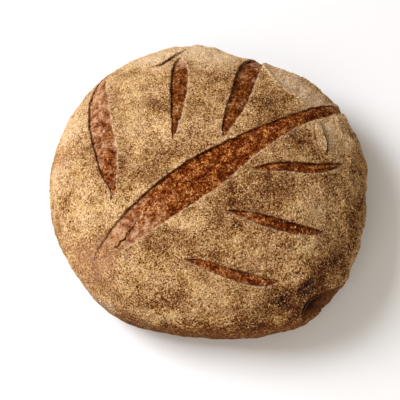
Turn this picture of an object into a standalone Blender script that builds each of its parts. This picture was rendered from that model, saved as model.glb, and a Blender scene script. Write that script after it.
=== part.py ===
# A round sourdough loaf, floured and scored like an ear of wheat: one long slash from side to side, with three
# short cuts on each side of it. The loaf is one solid that stands on a flat underside.
#
# Units are metres, +Z is up, and the origin is at the middle of the underside. The long slash runs from the
# near left to the far right, where near is -Y and right is +X.
#
# A place on the crust is given as (u, v): how far it lies from the crown, measured along the crust as a tape
# would lie, towards the right and towards the far side. The cuts are drawn on that flat skin and wrapped round.

import math

import bmesh
import bpy
import numpy as np
from mathutils import Vector, noise
from mathutils.geometry import delaunay_2d_cdt

MM = 0.001

# The risen dome
BELLY_RADIUS = 125.6 * MM
HEIGHT = 92 * MM
BELLY_HEIGHT = 30 * MM
FOOT_SHARE = 0.88
SHOULDER_POWER = 2.3
CROWN_POWER = 2.1
PROFILE_POINTS = 300

# The outline isn't a true circle: waves round it, each with a count, a share of the radius and a phase in degrees
OUTLINE_WAVES = (
    (2, 0.027, -32.5),
    (3, 0.009, -17),
    (4, 0.022, 33),
    (5, 0.012, 25.5),
    (6, 0.002, -10),
    (7, 0.003, -4),
    (8, 0.008, 10),
)

# Soft lumps in the crust: size across and height of each kind, and where they and all other relief die out
LUMPS = ((54 * MM, 2.4 * MM), (20 * MM, 0.9 * MM))
LUMP_FADE = 30 * MM
FOOT_FADE = 20 * MM

# The mesh
FACET = 5.0 * MM
ROW_SHARE = 0.87
FEWEST_IN_RING = 6
STATION = 5.5 * MM
LINE_CLEARANCE = 0.5
CURVE_STEPS = 40
BATCH = 4000
SHARP_ANGLE = 35

# The walls of the cuts, and how the crust beside them rises
WALL_WIDTH = 1.0 * MM
WALL_SHARE = 0.3
LIP_REACH = 9 * MM
DEPTH_POWER = 0.6
CUT_MARGIN = 45 * MM

# Each cut opens between a raised lip on the left of its path and a low rim on the right. A row of its path is
# (u, v, half the width) in millimetres. The depths are in millimetres too: the lip's rise above the crust, the
# floor's drop below it at the lip, the floor's crown in the middle, its step below the rim, the rim's rise, and
# how far beyond the rim its rise or fall reaches. Where the rim falls, the crust is tucked in under the lip.
CUTS = {
    "long slash": {
        "rise": 1.1, "drop": 1.3, "crown": 2.0, "step": 0.8, "rim": 0.4, "reach": 4,
        "path": ((-89, -78, 0), (-83, -74, 4.6), (-75, -68.5, 7.4), (-66, -62, 10.3), (-44, -45, 13.6),
                 (-8, -20, 15.6), (27, 6, 11), (63, 30, 6.4), (90, 48.5, 6.0), (103, 58, 5.4),
                 (113, 65, 4.6), (128, 76, 0)),
    },
    "far left cut": {
        "rise": 1.0, "drop": 1.3, "crown": 1.5, "step": 0.8, "rim": 0.4, "reach": 4,
        "path": ((-70.5, -32, 0), (-72, -22, 3.9), (-75, -10, 7), (-79, 8, 9.3), (-84, 30, 10), (-87.5, 57, 8.9),
                 (-89, 79, 5.8), (-87.5, 97, 3.6), (-85, 112, 0)),
    },
    "far middle cut": {
        "rise": 1.1, "drop": 1.9, "crown": 1.1, "step": 1.0, "rim": 0.5, "reach": 4,
        "path": ((-27, 10, 0), (-25, 24, 2.8), (-23, 48, 6.2), (-22, 70, 7.2), (-22, 86, 5.4), (-22, 98.5, 0)),
    },
    "far right cut": {
        "rise": 1.2, "drop": 2.1, "crown": 1.3, "step": 1.1, "rim": 0.5, "reach": 4,
        "path": ((10.5, 14.5, 0), (13, 21, 3.4), (18.5, 36, 6.5), (25.3, 55, 8.5), (30.2, 73, 9.2),
                 (34.8, 88.5, 9.8), (40, 101, 8.4), (47, 115, 5), (54, 128, 0)),
    },
    "near right cut": {
        "rise": 0.9, "drop": 2.2, "crown": 0.8, "step": 0.8, "rim": 0.4, "reach": 4,
        "path": ((32, -12, 0), (42, -11, 3.2), (60, -8.5, 4.3), (80, -7, 4.7), (96, -2, 3.5), (110, 5, 0)),
    },
    "near middle cut": {
        "rise": 0.7, "drop": 1.8, "crown": 0.8, "step": 1.0, "rim": 0.4, "reach": 4,
        "path": ((11, -45, 0), (24, -47, 3), (43, -51.5, 4.8), (64, -55.5, 4.1), (78, -55.5, 2.4), (88, -55, 0)),
    },
    "near left cut": {
        "rise": 0.7, "drop": 1.8, "crown": 0.8, "step": 0.9, "rim": 0.4, "reach": 4,
        "path": ((-21, -83, 0), (-8, -86, 3.2), (8, -90.5, 4.2), (23, -93.5, 5), (40, -95.5, 3.9), (53, -93, 0)),
    },
    "crack in the right flap": {
        "rise": 2.2, "drop": 2.2, "crown": 0, "step": 0.6, "rim": 0.3, "reach": 4,
        "path": ((89, 5, 0), (91, 12, 1.0), (91, 18.5, 1.3), (88.5, 27, 1.2), (87.5, 38, 0)),
    },
    "fold by the far middle cut": {
        "rise": 1.6, "drop": 1.3, "crown": 0, "step": 0.9, "rim": -0.5, "reach": 7,
        "path": ((-48, 87, 0), (-40, 86.5, 0.5), (-33.5, 90, 0.8), (-28.5, 97, 0.8), (-23, 106, 0.5),
                 (-18, 118, 0)),
    },
    "tuck at the near right": {
        "rise": 1.4, "drop": 7.4, "crown": 0, "step": 6.2, "rim": -6.0, "reach": 19,
        "path": ((80, -126, 0), (77, -117, 4.4), (78.5, -108.5, 5.4), (84, -103, 4.2), (91, -99, 2.8),
                 (99, -96.5, 1.9), (108, -94, 1.2), (118, -90, 0)),
    },
    "pinch above the tuck": {
        "rise": 1.3, "drop": 1.8, "crown": 0, "step": 0.8, "rim": -0.3, "reach": 5,
        "path": ((74.5, -100, 0), (75, -95, 1.4), (74.5, -90, 1.4), (73, -83, 0)),
    },
}

# The fold beyond the far right cut: its crest in millimetres, the crest's height, the hollow beyond it, and how
# far the slope inside, the slope outside and the hollow reach
FOLD_CREST = ((46.5, 102), (49, 93.8), (51.7, 84.5), (53.8, 75), (56.8, 68.3), (62, 63.4), (68.1, 59.2),
              (73.3, 55), (77.5, 46))
FOLD_HEIGHT = 3.0 * MM
FOLD_HOLLOW = 2.4 * MM
FOLD_REACH_INSIDE = 7 * MM
FOLD_REACH_OUTSIDE = 3.5 * MM
FOLD_REACH_HOLLOW = 16 * MM

FLOURED = ("floured crust", (0.50, 0.33, 0.18, 1), 0.9)
OPENED = ("opened crust", (0.26, 0.085, 0.025, 1), 0.7)


def clear_scene():
    for thing in list(bpy.data.objects):
        bpy.data.objects.remove(thing, do_unlink=True)


def dome_profile():
    """Distance along the crust from the crown, the radius there and the height, down to the underside's edge."""
    upper = np.linspace(0, math.pi / 2, PROFILE_POINTS)
    lower = np.linspace(0, math.pi / 2, PROFILE_POINTS)[1:]
    radius = np.concatenate([
        BELLY_RADIUS * np.sin(upper) ** (2 / SHOULDER_POWER),
        BELLY_RADIUS * (FOOT_SHARE + (1 - FOOT_SHARE) * np.cos(lower)),
    ])
    height = np.concatenate([
        BELLY_HEIGHT + (HEIGHT - BELLY_HEIGHT) * np.cos(upper) ** (2 / CROWN_POWER),
        BELLY_HEIGHT * (1 - np.sin(lower)),
    ])
    height[-1] = 0
    steps = np.hypot(np.diff(radius), np.diff(height))
    return np.concatenate([[0], np.cumsum(steps)]), radius, height


ALONG, RADIUS, LEVEL = dome_profile()
SKIN_REACH = float(ALONG[-1])


def wrap(skin):
    """The points in space of skin places on the smooth dome."""
    reach = np.hypot(skin[:, 0], skin[:, 1])
    turn = np.arctan2(skin[:, 1], skin[:, 0])
    radius = np.interp(reach, ALONG, RADIUS)
    swell = np.zeros(len(skin))
    for count, share, phase in OUTLINE_WAVES:
        swell += share * np.cos(count * (turn - math.radians(phase)))
    wide = radius * (1 + swell * radius / BELLY_RADIUS)
    return np.stack([wide * np.cos(turn), wide * np.sin(turn), np.interp(reach, ALONG, LEVEL)], 1)


def outward(skin):
    """Unit vectors that point out of the smooth dome."""
    step = 0.2 * MM
    inner = skin * (1 - 2 * step / SKIN_REACH)
    along_u = wrap(inner + [step, 0]) - wrap(inner - [step, 0])
    along_v = wrap(inner + [0, step]) - wrap(inner - [0, step])
    across = np.cross(along_u, along_v)
    return across / np.linalg.norm(across, axis=1, keepdims=True)


def smooth_path(rows, spacing):
    """Rows of a path, joined by a smooth curve through them and read at even steps."""
    rows = np.array(rows, float) * MM
    ends = np.stack([2 * rows[0] - rows[1], 2 * rows[-1] - rows[-2]])
    knots = np.concatenate([ends[:1], rows, ends[1:]])
    share = np.linspace(0, 1, CURVE_STEPS, endpoint=False)[:, None]
    pieces = []
    for before, start, stop, after in zip(knots, knots[1:], knots[2:], knots[3:]):
        pieces.append(0.5 * (
            2 * start + (stop - before) * share
            + (2 * before - 5 * start + 4 * stop - after) * share ** 2
            + (3 * start - before - 3 * stop + after) * share ** 3
        ))
    fine = np.concatenate(pieces + [rows[-1:]])
    walked = np.concatenate([[0], np.cumsum(np.hypot(*np.diff(fine[:, :2], axis=0).T))])
    stations = np.linspace(0, walked[-1], max(3, round(walked[-1] / spacing) + 1))
    path = np.stack([np.interp(stations, walked, column) for column in fine.T], 1)
    path[:, 2] = np.maximum(path[:, 2], 0)
    path[[0, -1], 2] = 0
    return path


def left_of(path):
    """Unit vectors to the left of each station of a path."""
    ahead = np.gradient(path[:, :2], axis=0)
    ahead /= np.linalg.norm(ahead, axis=1, keepdims=True)
    return np.stack([-ahead[:, 1], ahead[:, 0]], 1)


def beside(path, skin):
    """For each skin place, the nearest station of a path and the offset to the left of it."""
    left = left_of(path)
    nearest = np.empty(len(skin), int)
    offset = np.empty(len(skin))
    for some in np.array_split(np.arange(len(skin)), 1 + len(skin) // BATCH):
        apart = skin[some, None] - path[None, :, :2]
        nearest[some] = (apart ** 2).sum(2).argmin(1)
        reach = apart[np.arange(len(some)), nearest[some]]
        side = (reach * left[nearest[some]]).sum(1)
        offset[some] = np.copysign(np.linalg.norm(reach, axis=1), side)
    return nearest, offset


def wall_width(half):
    return np.minimum(WALL_WIDTH, WALL_SHARE * half)


def cut_height(cut, offset, half, widest):
    """How far a cut lifts or lowers the crust at an offset to the left of its middle, where it is 2 * half wide."""
    from_lip = half - offset
    from_rim = half + offset
    wall = wall_width(half)
    span = np.maximum(2 * (half - wall), 1e-9)
    share = np.clip((from_lip - wall) / span, 0, 1)
    floor = -cut["drop"] + (cut["drop"] - cut["step"]) * np.sqrt(share) + cut["crown"] * np.sin(math.pi * share)
    wall = np.maximum(wall, 1e-9)
    height = np.where(from_lip < wall, cut["rise"] + (floor - cut["rise"]) * from_lip / wall, floor)
    height = np.where(from_rim < wall, cut["rim"] + (floor - cut["rim"]) * from_rim / wall, height)
    beyond_lip = cut["rise"] * np.exp(np.minimum(from_lip, 0) / LIP_REACH)
    beyond_rim = cut["rim"] * np.exp(np.minimum(from_rim, 0) / (cut["reach"] * MM))
    height = np.where(from_lip <= 0, beyond_lip, height)
    height = np.where(from_rim <= 0, beyond_rim, height)
    return height * MM * (half / widest) ** DEPTH_POWER


def cut_relief(cut, skin):
    """The height that one cut gives to each skin place."""
    path = smooth_path(cut["path"], MM)
    relief = np.zeros(len(skin))
    low = path[:, :2].min(0) - CUT_MARGIN
    high = path[:, :2].max(0) + CUT_MARGIN
    near = np.flatnonzero(((skin > low) & (skin < high)).all(1))
    if len(near):
        nearest, offset = beside(path, skin[near])
        relief[near] = cut_height(cut, offset, path[nearest, 2], path[:, 2].max())
    return relief


def cuts_relief(cuts, skin):
    return sum(cut_relief(cut, skin) for cut in cuts)


def fold_relief(skin):
    """A crest along the fold beyond the far right cut, with a hollow outside it."""
    crest = smooth_path([(u, v, 0) for u, v in FOLD_CREST], MM)
    nearest, offset = beside(crest, skin)
    middle = np.abs(nearest / (len(crest) - 1) - 0.5) * 2
    apart = np.abs(offset)
    near = np.exp(-apart / FOLD_REACH_OUTSIDE)
    inside = FOLD_HEIGHT * np.exp(-apart / FOLD_REACH_INSIDE)
    outside = FOLD_HEIGHT * near - FOLD_HOLLOW * (1 - near) * np.exp(-apart / FOLD_REACH_HOLLOW)
    return (1 - middle ** 4) * np.where(offset > 0, outside, inside)


def lump_relief(skin, places):
    """Soft lumps, which die out towards the underside."""
    relief = np.zeros(len(skin))
    for size, height in LUMPS:
        relief += height * np.array([noise.noise(Vector(place / size)) for place in places])
    reach = np.hypot(skin[:, 0], skin[:, 1])
    return relief * np.clip((SKIN_REACH - reach) / LUMP_FADE, 0, 1)


def ring_places():
    """Places in rings round the crown, about one facet apart, and the count of the last ring, at the underside."""
    rings = round(SKIN_REACH / (FACET * ROW_SHARE))
    places = [np.zeros((1, 2))]
    count = 0
    for ring in range(1, rings + 1):
        reach = SKIN_REACH * ring / rings
        count = max(FEWEST_IN_RING, round(2 * math.pi * np.interp(reach, ALONG, RADIUS) / FACET))
        turn = (np.arange(count) + 0.5 * (ring % 2)) * 2 * math.pi / count
        places.append(reach * np.stack([np.cos(turn), np.sin(turn)], 1))
    return np.concatenate(places), count


def cut_lines(cut):
    """The lines that a cut's facets follow, from lip to rim, with the height that the cut gives to each point."""
    path = smooth_path(cut["path"], STATION)
    left = left_of(path)
    half = path[:, 2]
    wall = wall_width(half)
    widest = smooth_path(cut["path"], MM)[:, 2].max()
    lines = []
    for offset in (half, half - wall, 0 * half, wall - half, -half):
        places = path[:, :2] + left * offset[:, None]
        lines.append((places, cut_height(cut, offset, half, widest)))
    return lines


def skin_layout():
    """All skin places, the lines between them, their relief, whether they lie on a floor, and the edge's numbers."""
    ringed, rim_count = ring_places()
    inner = ringed[:-rim_count]
    drawn = np.concatenate([line for cut in CUTS.values() for line, _ in cut_lines(cut)])
    apart = np.array([np.hypot(*(drawn - place).T).min() for place in inner])
    inner = inner[apart > LINE_CLEARANCE * FACET]
    places = [inner, ringed[-rim_count:]]
    on_floor = [np.zeros(len(inner) + rim_count, bool)]
    relief = [cuts_relief(CUTS.values(), np.concatenate(places))]
    total = len(inner) + rim_count
    rim = range(len(inner), total)
    edges = list(zip(rim, [*rim[1:], rim[0]]))

    for cut in CUTS.values():
        others = [other for other in CUTS.values() if other is not cut]
        lines = cut_lines(cut)
        tips = lines[0][0][[0, -1]]
        first, last = total, total + 1
        places.append(tips)
        relief.append(cuts_relief(others, tips))
        on_floor.append(np.zeros(2, bool))
        total += 2
        for index, (line, height) in enumerate(lines):
            inside = line[1:-1]
            chain = [first, *range(total, total + len(inside)), last]
            edges += list(zip(chain, chain[1:]))
            places.append(inside)
            relief.append(height[1:-1] + cuts_relief(others, inside))
            on_floor.append(np.full(len(inside), 0 < index < len(lines) - 1))
            total += len(inside)
    return np.concatenate(places), edges, np.concatenate(relief), np.concatenate(on_floor), rim


def loaf_mesh():
    """The loaf's closed mesh: the wrapped skin and a flat underside."""
    skin, edges, relief, on_floor, rim = skin_layout()
    laid = delaunay_2d_cdt([Vector(place) for place in skin], edges, [], 0, 1e-7, True)
    if not all(laid[3]):
        raise ValueError("two lines of the cuts cross")
    chosen = np.array([sources[0] for sources in laid[3]])
    skin = np.array([tuple(place) for place in laid[0]])

    smooth = wrap(skin)
    relief = relief[chosen] + fold_relief(skin) + lump_relief(skin, smooth)
    reach = np.hypot(skin[:, 0], skin[:, 1])
    relief = relief * np.clip((SKIN_REACH - reach) / FOOT_FADE, 0, 1)
    points = smooth + outward(skin) * relief[:, None]
    on_rim = (chosen >= rim[0]) & (chosen <= rim[-1])
    points[on_rim, 2] = 0
    middle = (points.min(0) + points.max(0)) / 2
    points[:, :2] -= middle[:2]

    body = bmesh.new()
    corners = [body.verts.new(point) for point in points]
    for face in laid[2]:
        made = body.faces.new([corners[k] for k in face])
        made.material_index = int(on_floor[chosen[face]].any())
    edge = sorted(np.flatnonzero(on_rim), key=lambda k: -math.atan2(skin[k, 1], skin[k, 0]))
    body.faces.new([corners[k] for k in edge])
    bmesh.ops.recalc_face_normals(body, faces=body.faces)
    mesh = bpy.data.meshes.new("loaf")
    body.to_mesh(mesh)
    body.free()
    return mesh


def crust_material(name, colour, roughness):
    material = bpy.data.materials.new(name)
    material.use_nodes = True
    shader = material.node_tree.nodes["Principled BSDF"]
    shader.inputs["Base Color"].default_value = colour
    shader.inputs["Roughness"].default_value = roughness
    shader.inputs["Metallic"].default_value = 0
    return material


def build():
    clear_scene()
    mesh = loaf_mesh()
    mesh.materials.append(crust_material(*FLOURED))
    mesh.materials.append(crust_material(*OPENED))
    mesh.shade_smooth()
    mesh.set_sharp_from_angle(angle=math.radians(SHARP_ANGLE))
    loaf = bpy.data.objects.new("loaf", mesh)
    bpy.context.scene.collection.objects.link(loaf)


build()
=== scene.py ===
# Dresses the sourdough loaf: a fine crust in place of the frame's plain one, with loose flour and bran on it.
# A place on the crust is (u, v): along the crust from the crown, to the right and to the far side.
import math

import bpy
import numpy as np
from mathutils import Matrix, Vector, noise
from mathutils.geometry import delaunay_2d_cdt


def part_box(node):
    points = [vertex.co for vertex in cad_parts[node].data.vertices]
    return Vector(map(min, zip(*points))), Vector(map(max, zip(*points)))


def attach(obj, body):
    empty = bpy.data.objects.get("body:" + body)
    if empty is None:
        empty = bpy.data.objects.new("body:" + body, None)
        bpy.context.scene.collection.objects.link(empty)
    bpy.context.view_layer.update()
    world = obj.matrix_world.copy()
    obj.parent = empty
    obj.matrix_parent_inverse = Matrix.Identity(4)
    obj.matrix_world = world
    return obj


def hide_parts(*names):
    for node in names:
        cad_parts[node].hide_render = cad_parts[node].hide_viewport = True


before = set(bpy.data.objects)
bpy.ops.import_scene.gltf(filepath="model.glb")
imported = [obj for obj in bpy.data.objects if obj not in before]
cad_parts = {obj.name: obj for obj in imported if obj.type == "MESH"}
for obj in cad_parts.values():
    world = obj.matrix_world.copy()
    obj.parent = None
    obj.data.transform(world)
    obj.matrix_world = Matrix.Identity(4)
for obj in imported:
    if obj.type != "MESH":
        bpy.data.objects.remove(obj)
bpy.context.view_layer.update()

boxLow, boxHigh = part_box("loaf")
mm = (boxHigh.x - boxLow.x) / 252.8  # one millimetre of the recipes below, at the frame's own width
batch = 4000  # places worked on at a time, to spare memory
tiny = 1e-9  # keeps a division from going wrong


def clamp(value):
    return np.clip(value, 0, 1)


def upTo(value, full):
    # from 0 at nothing to 1 at this many millimetres
    return clamp(value / (full * mm))


def fading(value, reach):
    # 1 within an edge, and less the further beyond it, where the value is negative
    return np.exp(np.minimum(value, 0) / (reach * mm))


# The dome, in millimetres and degrees: the same one as the frame's
dome = {
    "bellyRadius": 125.6,
    "height": 92,
    "bellyHeight": 30,
    "footShare": 0.88,
    "shoulderPower": 2.3,
    "crownPower": 2.1,
    "waves": ((2, 0.027, -32.5), (3, 0.009, -17), (4, 0.022, 33), (5, 0.012, 25.5), (6, 0.002, -10),
              (7, 0.003, -4), (8, 0.008, 10)),
    "lumps": ((54, 2.4), (20, 0.9)),  # size across and height
    "lumpFade": 30,  # the lumps die out this far from the foot
    "footFade": 20,  # and all other relief this far
    "profilePoints": 300,
}


def domeProfile():
    upper = np.linspace(0, math.pi / 2, dome["profilePoints"])
    lower = np.linspace(0, math.pi / 2, dome["profilePoints"])[1:]
    belly = dome["bellyRadius"] * mm
    waist = dome["bellyHeight"] * mm
    foot = dome["footShare"]
    radius = np.concatenate([
        belly * np.sin(upper) ** (2 / dome["shoulderPower"]),
        belly * (foot + (1 - foot) * np.cos(lower)),
    ])
    level = np.concatenate([
        waist + (dome["height"] * mm - waist) * np.cos(upper) ** (2 / dome["crownPower"]),
        waist * (1 - np.sin(lower)),
    ])
    level[-1] = 0
    walked = np.concatenate([[0], np.cumsum(np.hypot(np.diff(radius), np.diff(level)))])
    return walked, radius, level


alongDome, radiusAt, levelAt = domeProfile()
skinReach = float(alongDome[-1])


def wrap(skin):
    # the point in space of each place on the smooth dome
    reach = np.hypot(skin[:, 0], skin[:, 1])
    turn = np.arctan2(skin[:, 1], skin[:, 0])
    radius = np.interp(reach, alongDome, radiusAt)
    swell = sum(size * np.cos(count * (turn - math.radians(phase))) for count, size, phase in dome["waves"])
    wide = radius * (1 + swell * radius / (dome["bellyRadius"] * mm))
    return np.stack([wide * np.cos(turn), wide * np.sin(turn), np.interp(reach, alongDome, levelAt)], 1)


def outward(skin):
    # the smooth dome's normal, from its slope over a short step
    step = 0.4 * mm
    inner = skin * (1 - 2 * step / skinReach)
    alongU = wrap(inner + [step, 0]) - wrap(inner - [step, 0])
    alongV = wrap(inner + [0, step]) - wrap(inner - [0, step])
    normal = np.cross(alongU, alongV)
    return normal / np.linalg.norm(normal, axis=1, keepdims=True)


# The cuts, in millimetres. A path's rows are (u, v, half the width), and left of the path is the raised lip.
# Heights: rise is the lip's, rim the other edge's, which fades over reach, and crown the floor's bulge. Depths:
# drop is the floor's under the lip, and step its at the rim. hang is how far the lip leans over.
# At even steps along the path, bake is how dark the opened crust is, edge how strong the painted shade line under
# the lip is, and hollowShade how strong the painted shade over the whole hollow is, also over hollowShadeReach
# beyond it.
# tear is how rough the floor is at its start and further on, covered the share of the path where it opens only
# gradually, and bare how far beyond it there is no flour.
cuts = {
    "longSlash": {
        "rise": 1.1, "drop": 1.3, "crown": 2, "step": 0.8, "rim": 0.4, "hang": 0.5,
        "bake": (0, 0.6, 1, 0.92, 0.88, 0.35), "tear": (0.1, 1), "covered": 0.13,
        "path": ((-89, -78, 0), (-83, -74, 4.6), (-75, -68.5, 7.4), (-66, -62, 10.3), (-44, -45, 13.6),
                 (-8, -20, 15.6), (27, 6, 11), (63, 30, 6.4), (90, 48.5, 6), (103, 58, 5.4), (113, 65, 4.6),
                 (128, 76, 0)),
    },
    "farLeft": {
        "rise": 1, "drop": 1.3, "crown": 1.5, "step": 0.8, "rim": 0.4, "hang": 0.5,
        "bake": (0.8, 0.5, 0.35, 0.35), "tear": (0.9, 0.7), "edge": (1, 1, 0.75, 0.4),
        "path": ((-70.5, -32, 0), (-72, -22, 3.9), (-75, -10, 7), (-79, 8, 9.3), (-84, 30, 10), (-87.5, 57, 8.9),
                 (-89, 79, 5.8), (-87.5, 97, 3.6), (-85, 112, 0)),
    },
    "farMiddle": {
        "rise": 1.1, "drop": 1.9, "crown": 1.1, "step": 1, "rim": 0.5, "hang": 0.6,
        "bake": (0.95, 1, 1, 0.85, 0.1), "tear": (0.6, 0.5), "edge": (1, 1, 1, 0.8, 0.2),
        "path": ((-27, 10, 0), (-25, 24, 2.8), (-23, 48, 6.2), (-22, 70, 7.2), (-22, 86, 5.4), (-22, 98.5, 0)),
    },
    "farRight": {
        "rise": 1.2, "drop": 2.1, "crown": 1.3, "step": 1.1, "rim": 0.5, "hang": 0.7,
        "bake": (0.95, 0.88, 0.78, 0.22), "tear": (0.55, 0.35), "edge": (1, 1, 1, 0.8, 0.4),
        "path": ((10.5, 14.5, 0), (13, 21, 3.4), (18.5, 36, 6.5), (25.3, 55, 8.5), (30.2, 73, 9.2),
                 (34.8, 88.5, 9.8), (40, 101, 8.4), (47, 115, 5), (54, 128, 0)),
    },
    "nearRight": {
        "rise": 0.9, "drop": 2.2, "crown": 0.8, "step": 0.8, "rim": 0.4, "hang": 0.5,
        "bake": (1, 0.95, 0.85), "tear": (0.9, 0.85),
        "path": ((32, -12, 0), (42, -11, 3.2), (60, -8.5, 4.3), (80, -7, 4.7), (96, -2, 3.5), (110, 5, 0)),
    },
    "nearMiddle": {
        "rise": 0.7, "drop": 1.8, "crown": 0.8, "step": 1, "rim": 0.4, "hang": 0.3,
        "bake": (1, 0.95, 0.7), "tear": (0.8, 0.7),
        "path": ((11, -45, 0), (24, -47, 3), (43, -51.5, 4.8), (64, -55.5, 4.1), (78, -55.5, 2.4), (88, -55, 0)),
    },
    "nearLeft": {
        "rise": 0.7, "drop": 1.8, "crown": 0.8, "step": 0.9, "rim": 0.4, "hang": 0.3,
        "bake": (0.9, 0.8, 0.75), "tear": (0.9, 0.9),
        "path": ((-21, -83, 0), (-8, -86, 3.2), (8, -90.5, 4.2), (23, -93.5, 5), (40, -95.5, 3.9), (53, -93, 0)),
    },
    "flapCrack": {
        "rise": 2.2, "drop": 2.2, "step": 0.6, "rim": 0.3, "hang": 0.6,
        "bake": (0.9, 0.9), "tear": (0.3, 0.3), "hollowShade": (1, 1), "hollowShadeReach": 0.8,
        "path": ((89, 5, 0), (91, 12, 1), (91, 18.5, 1.3), (88.5, 27, 1.2), (87.5, 38, 0)),
    },
    "farFold": {
        "rise": 1.6, "drop": 1.3, "step": 0.9, "rim": -0.5, "reach": 7, "hang": 0.4,
        "bake": (0.6, 0.2), "tear": (0.2, 0.2), "hollowShade": (0, 0.3, 0.6, 0.2, 0, 0), "edge": (0.2, 0.6, 1, 0.4, 0.2, 0),
        "path": ((-48, 87, 0), (-40, 86.5, 0.5), (-33.5, 90, 0.8), (-28.5, 97, 0.8), (-23, 106, 0.5),
                 (-18, 118, 0)),
    },
    "tuck": {
        "rise": 1.4, "drop": 7.4, "step": 6.2, "rim": -6, "reach": 19, "hang": 0.8,
        "bake": (1, 0.8), "tear": (0.2, 0.2), "bare": 22, "hollowShade": (1.3, 1.3, 1.2, 0.7, 0.4), "hollowShadeReach": 16,
        "path": ((80, -126, 0), (77, -117, 4.4), (78.5, -108.5, 5.4), (84, -103, 4.2), (91, -99, 2.8),
                 (99, -96.5, 1.9), (108, -94, 1.2), (118, -90, 0)),
    },
    "pinch": {
        "rise": 1.3, "drop": 1.8, "step": 0.8, "rim": -0.3, "reach": 5, "hang": 0.3,
        "bake": (1, 1), "tear": (0.4, 0.4), "hollowShade": (0.5, 0.5),
        "path": ((74.5, -100, 0), (75, -95, 1.4), (74.5, -90, 1.4), (73, -83, 0)),
    },
    "leafEdge": {
        "rise": 0.9, "drop": 0.3, "step": 0.2, "rim": 0, "reach": 3, "hang": 0.3, "edge": (0.8, 0.8),
        "bake": (0.9, 0.9), "tear": (0.9, 0.9),
        "path": ((85, 37.5, 0), (81.8, 31, 0.6), (80.8, 23, 0.7), (82.8, 14, 0.7), (86, 6.5, 0)),
    },
    "slashTear": {
        "rise": 0.4, "drop": 0.3, "step": 0.1, "rim": 0.1, "reach": 3, "hang": 0.1, "edge": (0.2, 0.2),
        "bake": (0.6, 0.6), "tear": (0.9, 0.9),
        "path": ((-74, -67, 0), (-70.4, -69.3, 0.8), (-67.2, -69.2, 1.1), (-65.2, -66.2, 1.2), (-61.8, -64.2, 0.9),
                 (-59.8, -60.2, 1.2), (-55, -55, 0.7), (-52.5, -49, 0)),
    },
    "footCrack": {
        "rise": 0.5, "drop": 0.8, "step": 0.5, "rim": 0.1, "reach": 3, "hang": 0.2,
        "bake": (0.9, 0.9), "tear": (0.3, 0.3), "hollowShade": (0.7, 0.7), "hollowShadeReach": 0.3,
        "path": ((-73, -35.5, 0), (-72.9, -33, 0.7), (-72.9, -30, 0.8), (-73.6, -27, 0)),
    },
}

torn = {
    "wallWidth": 1,  # how wide the step down from a lip is, in millimetres
    "wallShare": 0.3,  # at most this share of half the width
    "lipReach": 9,  # how far the crust rises towards a lip, and towards the rim
    "rimReach": 4,
    "hangReach": 2.2,  # how far back a lip leans over
    "runIn": 0.35,  # the floor runs in under the lip by this share of its lean
    "runInReach": 2,
    "softEdge": 0.5,  # how wide the change from crust to floor is
    "openWidth": 1.2,  # where half the width is this much, the opened crust shows fully
    "shadeAt": 0.6,  # where on the wall the painted shade line is, and how wide
    "shadeWidth": 0.6,
    "hollowShadeReach": 1.2,  # how far a hollow's painted shade reaches beyond it
    "rimHighlight": 0.42,  # how strong the painted highlight along the rim is, how wide, and at what half width in full
    "rimWidth": 0.45,
    "rimFull": 3,
    "tearGrowth": 4,  # tear has its second value after the first quarter of the path
    "barePower": 4,  # how sharply the bare crust beyond a cut ends
    "depthPower": 0.6,  # a narrow stretch is shallower
    "wander": 0.55,  # how far a torn edge strays, in full at this half width
    "wanderFull": 4,
    "wanderLength": 7,  # and over what length
    "wanderNoise": (0.6, 2, 3),
    "streak": (9, 2.2),  # the streaks' length and width
    "station": 1.1,  # spacing of the points along an edge
    "lineBeyond": 0.8,  # the outermost lines lie this far outside the edges
    "margin": 45,  # nothing that a cut does reaches further
    "curveSteps": 40,
}


def smoothPath(rows, spacing, strays=True):
    # a smooth curve through the rows, read at even steps
    rows = np.array(rows, float) * mm
    knots = np.concatenate([[2 * rows[0] - rows[1]], rows, [2 * rows[-1] - rows[-2]]])
    way = np.linspace(0, 1, torn["curveSteps"], endpoint=False)[:, None]
    pieces = []
    for before, start, stop, after in zip(knots, knots[1:], knots[2:], knots[3:]):
        pieces.append(0.5 * (
            2 * start + (stop - before) * way
            + (2 * before - 5 * start + 4 * stop - after) * way ** 2
            + (3 * start - before - 3 * stop + after) * way ** 3
        ))
    fine = np.concatenate(pieces + [rows[-1:]])
    along = np.concatenate([[0], np.cumsum(np.hypot(*np.diff(fine[:, :2], axis=0).T))])
    stations = np.linspace(0, along[-1], max(3, round(along[-1] / spacing) + 1))
    path = np.stack([np.interp(stations, along, column) for column in fine.T], 1)
    path[:, 2] = np.maximum(path[:, 2], 0)
    if strays:
        seed = rows[0, 0] / mm
        wave = torn["wanderLength"] * mm
        stray = np.array([noise.fractal(Vector((s / wave, seed, 0)), *torn["wanderNoise"]) for s in stations])
        path[:, 2] += stray * torn["wander"] * mm * upTo(path[:, 2], torn["wanderFull"])
    path[[0, -1], 2] = 0
    return path


def leftOf(path):
    ahead = np.gradient(path[:, :2], axis=0)
    ahead /= np.linalg.norm(ahead, axis=1, keepdims=True)
    return np.stack([-ahead[:, 1], ahead[:, 0]], 1)


def nearestOn(path, places):
    # the nearest station of a path, and the offset to the left of it
    left = leftOf(path)
    nearest = np.empty(len(places), int)
    offset = np.empty(len(places))
    for some in np.array_split(np.arange(len(places)), 1 + len(places) // batch):
        apart = places[some, None] - path[None, :, :2]
        nearest[some] = (apart ** 2).sum(2).argmin(1)
        reach = apart[np.arange(len(some)), nearest[some]]
        side = (reach * left[nearest[some]]).sum(1)
        offset[some] = np.copysign(np.linalg.norm(reach, axis=1), side)
    return nearest, offset


def wallAt(half):
    return np.minimum(torn["wallWidth"] * mm, torn["wallShare"] * half)


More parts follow.
